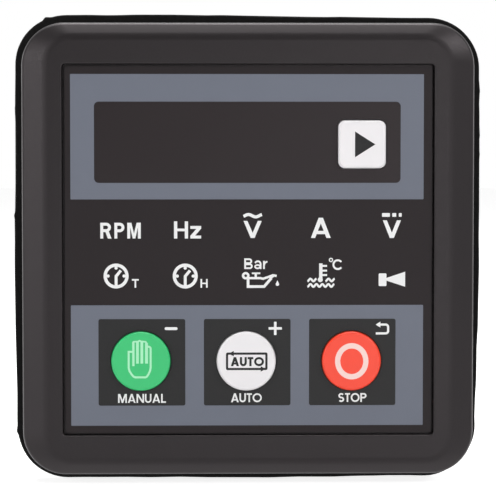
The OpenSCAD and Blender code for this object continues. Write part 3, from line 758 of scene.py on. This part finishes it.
def horn_sign():
    """Signal horn seen from the side."""
    bell = [(23.72, -4.94), (27.03, -3.84), (27.03, -6.42), (23.72, -5.34)]
    return [[between(22.46, 23.81, -6.31, -4.12, 0.2)], [bell]]


def alternating_sign():
    """Wave over the letter V."""
    return [wavy(-0.85, 2.31, 5.85, rise=0.21, wave=0.78, crest=0.27, steps=24, t=0.53)]


def direct_sign():
    """Dash and two dots over the letter V."""
    spans = ((23.02, 24.36), (24.77, 25.46), (25.9, 26.4))
    return [[between(left, right, 5.64, 6.29, 0.1)] for left, right in spans]


def plus_sign():
    """Plus beside the white key."""
    return [[rounded(4.62, -13.6, 2.3, 0.44, 0.1)], [rounded(4.62, -13.6, 0.44, 2.3, 0.1)]]


def minus_sign():
    """Minus beside the green key."""
    return [[between(-14.45, -12.22, -13.86, -13.36, 0.24)]]


def return_sign():
    """Arrow that turns back, beside the red key."""
    bend_x, r = 23.69, 0.43
    upper, lower = -12.97, -14.5
    bends = [*arc(bend_x, upper - r, r, 90, 0, 8), *arc(bend_x, lower + r, r, 0, -90, 8)]
    head = [(21.97, upper), (22.78, upper + 0.52), (22.78, upper - 0.52)]
    return [[stroke([(22.54, upper), *bends, (21.99, lower)], 0.38)], [head]]


SIGNS = (
    ("time_dial", dial_sign(-22.78, -4.52)),
    ("hours_dial", dial_sign(-10.89, -4.54)),
    ("oil_can", oil_can_sign()),
    ("coolant", coolant_sign()),
    ("horn", horn_sign()),
    ("alternating_wave", alternating_sign()),
    ("direct_dashes", direct_sign()),
    ("plus", plus_sign()),
    ("minus", minus_sign()),
    ("return_arrow", return_sign()),
)


def hand_print(x, z):
    """Raised open hand."""
    heel = [
        (-2.07, -1.1), (-1.94, -1.62), (-1.58, -2.22), (-1.27, -2.58), (-0.98, -2.73),
        (0.84, -2.74), (1.08, -2.58), (1.36, -2.14), (1.6, -1.6), (1.7, -1.05),
    ]
    little_tip = arc(1.35, 2.2, 0.35, 0, 90, 6)
    palm = [(-1.3, 1.68), (-2.07, 1.68), *heel, *little_tip, (0.95, 2.55)]
    fingers = [
        (-1.26, -0.8, 3.3, 0.4), (-0.56, -0.36, 3.44, 0.47),
        (0.19, -0.36, 3.44, 0.47), (1.0, -0.36, 3.2, 0.5),
    ]
    tips = [
        (-1.36, 3.2), (-1.25, 3.4), (-0.42, 3.46), (-0.18, 3.6), (0.06, 3.46), (0.85, 3.4), (1, 3.15),
    ]
    shapes = [[stroke(palm, 0.35)], [stroke(tips, 0.28)]]
    shapes += [[stroke([(fx, low), (fx, high)], width)] for fx, low, high, width in fingers]
    return [[[(x + px, z + pz) for px, pz in loop] for loop in loops] for loops in shapes]


def auto_print(x, z):
    """Word in a box of two arrows that chase each other."""
    outer = between(x - 3.5, x + 3.66, z - 1.52, z + 1.52, 0.3)
    inner = between(x - 3.12, x + 3.28, z - 1.14, z + 1.14, 0.08)
    upper = [(x - 3.02, z + 1.33), (x - 2.15, z + 1.8), (x - 2.15, z + 0.86)]
    lower = [(x + 3.35, z - 1.33), (x + 2.48, z - 0.86), (x + 2.48, z - 1.8)]
    word = lettering("AUTO", (x - 2.66, x + 3.04, z - 0.84, z + 0.73), 0.24, 0.09)
    return [[outer, inner], [upper], [lower], *word]


def ring_print(x, z):
    """Tall ring."""
    return [[oval(x + 0.03, z - 0.03, 2.88, 3.14), oval(x + 0.03, z - 0.03, 1.98, 2.21)]]


def arrow_print(x, z):
    """Triangle that points to the right."""
    return [[[(x - 1.24, z + 2.22), (x + 2.26, z), (x - 1.24, z - 2.22)]]]


# Operators

class CONTROLLER_OT_stage(bpy.types.Operator):
    """Sets the floor, the lamps, the white surround and the camera"""

    bl_idname = "controller.stage"
    bl_label = "Stage"

    def execute(self, context):
        scene = context.scene
        scene.view_settings.view_transform = "Standard"
        self.lay_floor(cad_box[0].z - GASKET_DIP)
        self.light_surround(scene)
        for lamp in LAMPS:
            self.hang_lamp(*lamp)
        self.set_camera(scene)
        return {"FINISHED"}

    def lay_floor(self, level):
        """Pale floor that shows white to the camera and keeps the shadow.
        In reflections it is white below the controller and dim in front of it, as the room is."""
        bm = bmesh.new()
        lowered = Matrix.Translation((0, 0, level))
        bmesh.ops.create_grid(bm, x_segments=1, y_segments=1, size=FLOOR_HALF, matrix=lowered)
        material, tree, shader = start_material(
            "matt_white_paper", roughness=0.9, base_color=opaque("#e6e6e6"),
            emission_color=opaque("#ffffff"),
        )
        path = add(tree, "ShaderNodeLightPath").outputs
        place = add(tree, "ShaderNodeTexCoord").outputs["Object"]
        depth = add(tree, "ShaderNodeSeparateXYZ", {0: place}).outputs["Y"]
        front_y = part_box("front_bezel")[0].y
        under = add(tree, "ShaderNodeMapRange", {
            "Value": depth, "From Min": front_y + FLOOR_DIM, "From Max": front_y + FLOOR_WHITE
        }).outputs["Result"]
        mirrored = add(tree, "ShaderNodeMath", {
            0: path["Is Glossy Ray"], 1: under
        }, operation="MULTIPLY").outputs[0]
        lift = add(tree, "ShaderNodeMath", {
            0: path["Is Camera Ray"], 1: FLOOR_LIFT, 2: mirrored
        }, operation="MULTIPLY_ADD")
        tree.links.new(lift.outputs[0], shader.inputs["Emission Strength"])
        floor = make_object("floor", bm, material)

    def light_surround(self, scene):
        """White to the camera, and in reflections behind the controller; dimmer as light,
        and in reflections of the room on the side of the face."""
        world = bpy.data.worlds.new("white_surround")
        scene.world = world
        world.use_nodes = True
        tree = world.node_tree
        backdrop = tree.nodes["Background"]
        backdrop.inputs["Color"].default_value = opaque("#ffffff")
        path = add(tree, "ShaderNodeLightPath").outputs
        way = add(tree, "ShaderNodeTexCoord").outputs["Generated"]
        depth = add(tree, "ShaderNodeSeparateXYZ", {0: way}).outputs["Y"]
        room = add(tree, "ShaderNodeMapRange", {
            "Value": depth, "From Min": ROOM_DIM, "From Max": ROOM_WHITE, "To Min": ROOM_MIRRORED
        }).outputs["Result"]
        shiny = add(tree, "ShaderNodeMath", {
            0: path["Is Glossy Ray"], 1: path["Is Transmission Ray"]
        }, operation="MAXIMUM").outputs[0]
        mirrored = add(tree, "ShaderNodeMath", {0: shiny, 1: room}, operation="MULTIPLY").outputs[0]
        seen = add(tree, "ShaderNodeMath", {
            0: path["Is Camera Ray"], 1: mirrored
        }, operation="MAXIMUM").outputs[0]
        light = add(tree, "ShaderNodeMapRange", {
            "Value": shiny, "To Min": ROOM_LIGHT, "To Max": 0
        }).outputs["Result"]
        strength = add(tree, "ShaderNodeMath", {0: seen, 1: light}, operation="MAXIMUM").outputs[0]
        tree.links.new(strength, backdrop.inputs["Strength"])

    def hang_lamp(self, name, place, size, watts):
        """Soft square lamp that looks at the controller."""
        lamp = bpy.data.lights.new(name, "AREA")
        lamp.size = size
        lamp.energy = watts
        self.hold(name, lamp, place, -Vector(place))

    def set_camera(self, scene):
        """Camera close in front of the face, a little above it and to its left."""
        size = sizes()
        camera = bpy.data.cameras.new("camera")
        camera.lens = camera.sensor_width * size.camera_distance / size.view_w
        camera.clip_start = CAMERA_NEAR
        bezel_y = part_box("front_bezel")[0].y
        aim = Vector((size.aim_right, bezel_y, size.aim_up))
        turn = Matrix.Rotation(-size.view_left, 3, "Z") @ Matrix.Rotation(-size.view_above, 3, "X")
        back = turn @ Vector((0, -size.camera_distance, 0))
        scene.camera = self.hold("camera", camera, aim + back, -back)

    def hold(self, name, device, place, way):
        """Holds a lamp or the camera at a place, looking along a way."""
        holder = bpy.data.objects.new(name, device)
        holder.location = place
        holder.rotation_euler = way.to_track_quat("-Z", "Y").to_euler()
        bpy.context.scene.collection.objects.link(holder)
        return holder


class CONTROLLER_OT_bezel(bpy.types.Operator):
    """Rounds the edges of the bezel and gives it a satin finish"""

    bl_idname = "controller.bezel"
    bl_label = "Bezel"

    def execute(self, context):
        size = sizes()
        low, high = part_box("front_bezel")
        # Bounds that tell the edges of the moulding apart
        rim = high.x - 4.5 * MM
        rim_front, rim_back = low.y + 1 * MM, low.y + 1.6 * MM
        flush = low.y + 0.05 * MM
        wall_back = low.y + 2.6 * MM
        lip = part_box("face_overlay")[1].x + 1.5 * MM
        bm = cad_copy("front_bezel")

        def reach(edge):
            return max(max(abs(v.co.x), abs(v.co.z)) for v in edge.verts)

        def depth(edge):
            return max(v.co.y for v in edge.verts)

        def on_rim(edge):
            return reach(edge) > rim and rim_front < depth(edge) < rim_back

        def on_ridge(edge):
            return reach(edge) > lip and depth(edge) < flush

        def on_lip(edge):
            return reach(edge) < lip and depth(edge) < flush

        def behind(edge):
            return min(v.co.y for v in edge.verts) > wall_back

        round_edges(bm, size.bezel_edge, segments=4, sharper=40, wanted=on_rim)
        round_edges(bm, size.bezel_ridge, segments=3, sharper=12, wanted=on_ridge)
        round_edges(bm, size.bezel_lip, segments=3, sharper=40, wanted=on_lip)
        round_edges(bm, size.bezel_lip, segments=2, sharper=60, wanted=behind)
        new_piece("bezel_moulding", bm, "controller", satin_abs(), ["front_bezel"])
        return {"FINISHED"}


class CONTROLLER_OT_gasket(bpy.types.Operator):
    """Cuts the gasket with a slightly uneven edge and a few burrs"""

    bl_idname = "controller.gasket"
    bl_label = "Gasket"

    def execute(self, context):
        size = sizes()
        centre = middle("panel_gasket")
        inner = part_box("rear_housing")[1].x + CUT_BAND
        bm = cad_copy("panel_gasket")
        outer = [e for e in bm.edges if min(self.out(v, centre) for v in e.verts) > inner]
        level = [e for e in outer if abs(e.verts[0].co.y - e.verts[1].co.y) < SLACK]
        for edge in [e for e in level if e.calc_length() > 1.5 * CUT_STEP]:
            bmesh.ops.subdivide_edges(bm, edges=[edge], cuts=int(edge.calc_length() / CUT_STEP))
        for vert in bm.verts:
            if self.out(vert, centre) > inner:
                vert.co += size.gasket_wave * self.wave(vert.co, size.gasket_wave_l)
                vert.co += self.trim(vert.co - centre)
        round_edges(bm, CUT_ROUND, segments=3, sharper=50)
        for vert in bm.verts:
            vert.co += self.burr(vert.co - centre)
        new_piece("sealing_gasket", bm, "controller", rubber(), ["panel_gasket"])
        return {"FINISHED"}

    def out(self, vert, centre):
        """How far a point lies out from the middle of the sheet."""
        return max(abs(vert.co.x - centre.x), abs(vert.co.z - centre.z))

    def trim(self, place):
        """How far the hand-cut edge stands out at a place, counted from the middle of the sheet."""
        side = CUT_LEFT if place.x < 0 else CUT_RIGHT
        level = CUT_BOTTOM if place.z < 0 else CUT_TOP
        across = math.copysign(MM, place.x) * rising(abs(place.x), CUT_START, CUT_FULL)
        upward = math.copysign(MM, place.z) * rising(abs(place.z), CUT_START, CUT_FULL)
        across *= reading(side, 0.5 - place.z / CUT_SPAN)
        upward *= reading(level, 0.5 + place.x / CUT_SPAN)
        return Vector((across, 0, upward))

    def burr(self, place):
        """How far a burr pushes the edge out at a place."""
        rise = 0
        for x, z, height in BURRS:
            away = math.hypot(place.x - x * MM, place.z - z * MM)
            share = 1 - rising(away, 0, BURR_W)
            rise += height * MM * share * share * (3 - 2 * share)
        return Vector((place.x, 0, place.z)).normalized() * rise

    def wave(self, place, spacing):
        """Sideways shift of the cut edge at a place."""
        flat = Vector((place.x, 0, place.z)) / spacing
        return Vector((noise.noise(flat), 0, noise.noise(flat + WAVE_APART)))


class CONTROLLER_OT_face(bpy.types.Operator):
    """Prints the film: grey fields, the window, the key tiles, legends and symbols"""

    bl_idname = "controller.face"
    bl_label = "Printed face"

    def execute(self, context):
        film_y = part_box("face_overlay")[0].y
        finish_nodes(polyester_film(), "face_overlay")
        printed = dict(carrier_y=film_y, body="controller", slot="film")
        keys = [middle(key) / MM for key in ("manual_key", "auto_key", "stop_key")]
        scroll = middle("scroll_key") / MM
        cap = self.cap_w("manual_key")
        scroll_cap = self.cap_w("scroll_key")

        left, right, bottom, top = WINDOW
        pane = between(*WINDOW, WINDOW_R)
        shrunk = (left + OVERLAP, right - OVERLAP, bottom + OVERLAP, top - OVERLAP)
        pane_hole = between(*shrunk, WINDOW_R)
        scroll_w = scroll_cap + 2 * KEY_GAP
        key_hole = rounded(scroll.x, scroll.z, scroll_w, scroll_w, SCROLL_R + KEY_GAP)
        tiles = [rounded(key.x + TILE_RIGHT, TILE_Z, TILE_W, TILE_H, TILE_R) for key in keys]
        hole = (TILE_W - 2 * OVERLAP, TILE_H - 2 * OVERLAP, TILE_R)
        tile_holes = [rounded(key.x + TILE_RIGHT, TILE_Z, *hole) for key in keys]

        grey = screen_ink("grey_screen_ink", paint("field"))
        fields = [
            [between(*TOP_FIELD, FIELD_R), pane_hole],
            [between(*LOWER_FIELD, FIELD_R), *tile_holes],
        ]
        print_piece("grey_fields", layer=1, material=grey, shapes=fields, **printed)
        smoked = window_film()
        print_piece("display_window", layer=2, material=smoked, shapes=[[pane, key_hole]], **printed)
        tile_shapes = [
            [tile, oval(key.x, key.z, cap / 2 + KEY_GAP, cap / 2 + KEY_GAP, 96)]
            for tile, key in zip(tiles, keys)
        ]
        black = screen_ink("black_screen_ink", paint("black_ink"))
        print_piece("key_tiles", layer=2, material=black, shapes=tile_shapes, **printed)

        white = screen_ink("white_screen_ink", paint("legend"))
        for name, *word in LEGENDS:
            print_piece(name, layer=3, material=white, shapes=lettering(*word), **printed)
        for name, shapes in SIGNS:
            print_piece(name + "_symbol", layer=3, material=white, shapes=shapes, **printed)
        return {"FINISHED"}

    def cap_w(self, key):
        """Width of a key's cap in millimetres: its widest front part, without the lip behind."""
        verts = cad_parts[key].data.vertices
        wall_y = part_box("face_overlay")[1].y
        centre = middle(key).x
        return 2 * max(abs(v.co.x - centre) for v in verts if v.co.y < wall_y) / MM


class CONTROLLER_OT_keys(bpy.types.Operator):
    """Moulds the four key caps and prints their signs"""

    bl_idname = "controller.keys"
    bl_label = "Keys"

    def execute(self, context):
        black = screen_ink("black_key_ink", paint("black_ink"))
        green = screen_ink("pale_green_key_ink", paint("pale_green"))
        pale = screen_ink("pale_red_key_ink", paint("pale_red"))
        white_cap = key_plastic("white_abs", paint("white"))
        caps = (
            ("manual", "green_key", key_plastic("green_abs", paint("green")), hand_print, green),
            ("auto", "white_key", white_cap, auto_print, black),
            ("stop", "red_key", key_plastic("red_abs", paint("red")), ring_print, pale),
            ("scroll", "white_key", white_cap, arrow_print, black),
        )
        for name, slot, plastic, sign, ink in caps:
            node = name + "_key"
            body = name + "_button"
            centre = middle(node) / MM
            bm = cad_copy(node)
            round_edges(bm, sizes().key_edge, segments=4)
            new_piece(name + "_key_cap", bm, body, plastic, [node])
            front_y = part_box(node)[0].y
            shapes = sign(centre.x, centre.z)
            print_piece(name + "_key_sign", front_y, 1, body, slot, ink, shapes)
        plungers = [name + "_plunger" for name in ("manual", "auto", "stop", "scroll")]
        finish_nodes(moulded("black_polyamide", opaque("#1c1b1c")), "key_switches", *plungers)
        return {"FINISHED"}


class CONTROLLER_OT_housing(bpy.types.Operator):
    """Rounds the edges of the rear housing and gives it a grained finish"""

    bl_idname = "controller.housing"
    bl_label = "Rear housing"

    def execute(self, context):
        width = sizes().housing_edge
        dress_copy("rear_housing", width, "controller", housing_abs(), segments=3)
        return {"FINISHED"}


class CONTROLLER_OT_terminals(bpy.types.Operator):
    """Finishes the two pluggable terminal blocks and their sockets"""

    bl_idname = "controller.terminals"
    bl_label = "Terminals"

    def execute(self, context):
        edge = sizes().terminal_edge
        green = moulded("green_polyamide", paint("terminal"))
        tin = plated_metal("tinned_brass", opaque("#cfc7a8"), 0.32)
        nickel = plated_metal("nickel_plated_steel", opaque("#c9c8c2"), 0.3)
        zinc = plated_metal("zinc_plated_steel", paint("zinc"), 0.34)
        for row in ("upper", "lower"):
            dress_copy(row + "_socket", edge, "controller", green)
            dress_copy(row + "_plug", edge, row + "_terminal", green)
            dress_copy(row + "_wire_screws", edge, row + "_terminal", zinc)
            finish_nodes(tin, row + "_pins")
            finish_nodes(nickel, row + "_cages")
        return {"FINISHED"}


class CONTROLLER_OT_clips(bpy.types.Operator):
    """Finishes the clips and cuts the thread of their clamp screws"""

    bl_idname = "controller.clips"
    bl_label = "Clips and clamp screws"

    def execute(self, context):
        zinc = plated_metal("zinc_plated_sheet", paint("zinc"), 0.38)
        bright = plated_metal("bright_zinc_screw", paint("zinc"), 0.3)
        for side in ("left", "right"):
            dress_copy(side + "_clip", sizes().clip_edge, "controller", zinc)
            self.cut_screw(side, bright)
        return {"FINISHED"}

    def cut_screw(self, side, material):
        """Turns the shank down to its core and winds the thread round it."""
        size = sizes()
        node = side + "_clamp_screw"
        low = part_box(node)[0]
        axis = middle(node)
        bm = cad_copy(node)
        out = [(v, math.hypot(v.co.x - axis.x, v.co.z - axis.z)) for v in bm.verts]
        shank_r = max(r for v, r in out if v.co.y < low.y + SHANK_L)
        core_r = shank_r - size.thread_depth
        head_y = min(v.co.y for v, r in out if r > shank_r + HEAD_OUT)

        def on_head(edge):
            return min(v.co.y for v in edge.verts) > head_y - SLACK

        round_edges(bm, HEAD_EDGE, segments=3, sharper=50, wanted=on_head)
        for vert in bm.verts:
            across = Vector((vert.co.x - axis.x, 0, vert.co.z - axis.z))
            if vert.co.y < head_y + SLACK and core_r < across.length < shank_r + SLACK:
                vert.co += across * (core_r / across.length - 1)
        self.wind_thread(bm, Vector((axis.x, low.y, axis.z)), core_r, shank_r, head_y)
        new_piece(node + "_threaded", bm, side + "_clamp", material, [node])

    def wind_thread(self, bm, tip, core_r, shank_r, head_y):
        """Winds a V-shaped ridge from the tip to just under the head."""
        pitch = sizes().thread_pitch
        start = tip.y + THREAD_TIP
        turns = int((head_y - start) / pitch) - 1
        sunk = core_r - THREAD_SUNK
        foot, crest = THREAD_FOOT, THREAD_CREST
        section = [(sunk, -foot), (shank_r, -crest), (shank_r, crest), (sunk, foot)]
        verts = [bm.verts.new((tip.x + r, start + along * pitch, tip.z)) for r, along in section]
        edges = [bm.edges.new((verts[i - 1], vert)) for i, vert in enumerate(verts)]
        face = bm.faces.new(verts)
        bmesh.ops.spin(
            bm, geom=[*verts, *edges, face], cent=(tip.x, start, tip.z), axis=(0, 1, 0),
            dvec=(0, pitch / THREAD_STEPS, 0), angle=2 * math.pi * turns, steps=turns * THREAD_STEPS,
        )
        bmesh.ops.recalc_face_normals(bm, faces=bm.faces)


class CONTROLLER_OT_inner_pieces(bpy.types.Operator):
    """Gives the boards and the parts on them their finishes"""

    bl_idname = "controller.inner_pieces"
    bl_label = "Inner pieces"

    def execute(self, context):
        zinc = plated_metal("zinc_board_screw", paint("zinc"), 0.35)
        gold = plated_metal("gold_plated_pin", opaque("#d9b560"), 0.25)
        finish_nodes(solder_mask(), "display_board", "main_board")
        finish_nodes(zinc, "display_board_screws", "main_board_screws")
        finish_nodes(gold, "link_pins")
        finish_nodes(lamp_resin(), "indicator_lamps")
        for name, hex_code, roughness, *nodes in INNER_FINISHES:
            finish_nodes(moulded(name, opaque(hex_code), roughness), *nodes)
        return {"FINISHED"}


OPERATORS = (
    CONTROLLER_OT_stage,
    CONTROLLER_OT_bezel,
    CONTROLLER_OT_gasket,
    CONTROLLER_OT_face,
    CONTROLLER_OT_keys,
    CONTROLLER_OT_housing,
    CONTROLLER_OT_terminals,
    CONTROLLER_OT_clips,
    CONTROLLER_OT_inner_pieces,
)


class CONTROLLER_PT_panel(bpy.types.Panel):
    """Lists the steps that dress the controller"""

    bl_label = "Controller"
    bl_space_type = "VIEW_3D"
    bl_region_type = "UI"
    bl_category = "Controller"

    def draw(self, context):
        for operator in OPERATORS:
            self.layout.operator(operator.bl_idname)


CLASSES = (ControllerSizes, ControllerColours, *OPERATORS, CONTROLLER_PT_panel)


def register():
    for cls in CLASSES:
        bpy.utils.register_class(cls)
    bpy.types.Scene.controller_sizes = PointerProperty(type=ControllerSizes)
    bpy.types.Scene.controller_colours = PointerProperty(type=ControllerColours)


def unregister():
    del bpy.types.Scene.controller_colours
    del bpy.types.Scene.controller_sizes
    for cls in reversed(CLASSES):
        bpy.utils.unregister_class(cls)


def main():
    """Registers the add-on and dresses the controller."""
    register()
    for operator in OPERATORS:
        group, name = operator.bl_idname.split(".")
        getattr(getattr(bpy.ops, group), name)()


if __name__ == "__main__":
    main()
